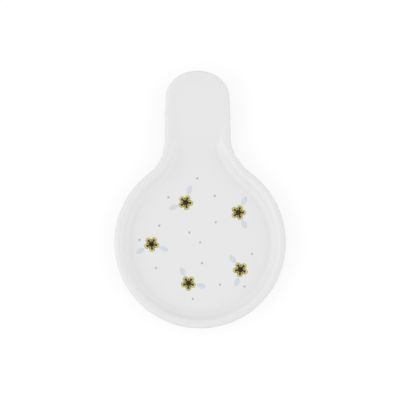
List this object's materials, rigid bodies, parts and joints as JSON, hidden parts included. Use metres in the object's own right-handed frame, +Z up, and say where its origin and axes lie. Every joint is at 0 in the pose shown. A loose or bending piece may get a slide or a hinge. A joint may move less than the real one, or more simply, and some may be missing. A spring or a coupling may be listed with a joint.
{
  "type": "spoon rest",
  "caption": "Glazed stoneware spoon rest: a round shallow pan with a rounded rim, a broad flat handle that rises to its tip, a bare foot ring and a floral print on the floor.",
  "frame": {"origin": "on the table, under the middle of the outline", "axes": "+Y along the handle towards its tip, +X across the pan, +Z up"},
  "size_m": [0.14, 0.21, 0.0205],
  "materials": {
    "stoneware": "matte",
    "white_glaze": "gloss",
    "yellow_ink": "gloss",
    "charcoal_ink": "gloss",
    "pale_blue_ink": "gloss",
    "grey_ink": "gloss"
  },
  "bodies": {
    "root": {"dot_01": "grey_ink", "dot_02": "grey_ink", "dot_03": "grey_ink", "dot_04": "grey_ink", "dot_05": "grey_ink", "dot_06": "grey_ink", "dot_07": "grey_ink", "dot_08": "grey_ink", "dot_09": "grey_ink", "dot_10": "grey_ink", "dot_11": "grey_ink", "dot_12": "grey_ink", "dot_13": "grey_ink", "dot_14": "grey_ink", "flower_1_eye": "charcoal_ink", "flower_1_left_leaf": "pale_blue_ink", "flower_1_petals": "yellow_ink", "flower_1_right_leaf": "pale_blue_ink", "flower_2_eye": "charcoal_ink", "flower_2_left_leaf": "pale_blue_ink", "flower_2_petals": "yellow_ink", "flower_2_right_leaf": "pale_blue_ink", "flower_3_eye": "charcoal_ink", "flower_3_left_leaf": "pale_blue_ink", "flower_3_petals": "yellow_ink", "flower_3_right_leaf": "pale_blue_ink", "flower_4_eye": "charcoal_ink", "flower_4_left_leaf": "pale_blue_ink", "flower_4_petals": "yellow_ink", "flower_4_right_leaf": "pale_blue_ink", "flower_5_eye": "charcoal_ink", "flower_5_left_leaf": "pale_blue_ink", "flower_5_petals": "yellow_ink", "flower_5_right_leaf": "pale_blue_ink", "glaze_coat": "white_glaze", "stoneware_body": "stoneware", "underside_glaze": "white_glaze"}
  },
  "joints": []
}
